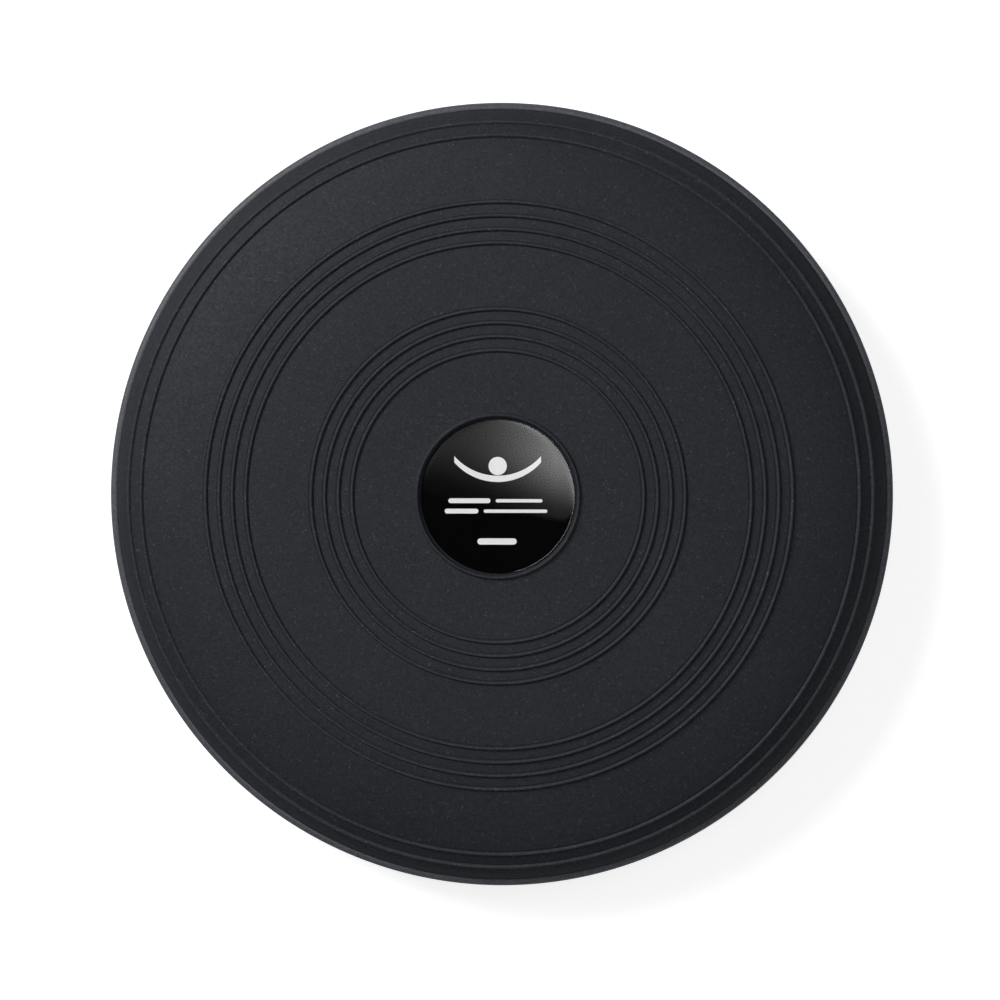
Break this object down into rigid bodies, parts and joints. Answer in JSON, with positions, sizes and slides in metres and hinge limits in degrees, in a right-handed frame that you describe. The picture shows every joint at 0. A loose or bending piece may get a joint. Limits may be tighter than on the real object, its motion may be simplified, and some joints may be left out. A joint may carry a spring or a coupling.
{
  "type": "balance pad",
  "caption": "Round inflatable balance pad with concentric ribs and a domed badge on its upper face, massage nubs below, and a plug valve in its lower shoulder.",
  "frame": {"origin": "on the floor, under the centre of the disc as it lies on its nubs", "axes": "+Z up along the disc's axis, out of the ribbed face and the badge; the badge's sign reads upright with +Y up; the valve is at -Y"},
  "size_m": [0.3299, 0.33, 0.0575],
  "materials": {
    "skin_vinyl": "matt, finely grained soft vinyl",
    "valve_rubber": "smooth, soft",
    "plug_plastic": "satin",
    "adhesive": "translucent film of glue",
    "badge_black": "black printed film",
    "badge_white": "white print",
    "clear_dome": "clear glossy cast resin"
  },
  "bodies": {
    "base": {"lower_skin": "skin_vinyl", "rim_bead": "skin_vinyl", "upper_shoulder": "skin_vinyl", "valve_seat": "valve_rubber", "valve_check": "valve_rubber"},
    "face": {"ribbed_face": "skin_vinyl", "badge_adhesive": "adhesive", "badge_film": "badge_black", "badge_mark": "badge_white", "badge_dome": "clear_dome"},
    "plug": {"valve_plug": "plug_plastic"}
  },
  "joints": [
    {"name": "face_squash", "type": "slide", "parent": "base", "child": "face", "axis": [0, 0, 1], "range_m": [-0.01, 0], "stiffness_N_per_m": 80000, "deforming": ["upper_shoulder"]},
    {"name": "plug_pull", "type": "slide", "parent": "base", "child": "plug", "axis": [0, -0.509, -0.8608], "range_m": [0, 0.014]}
  ]
}
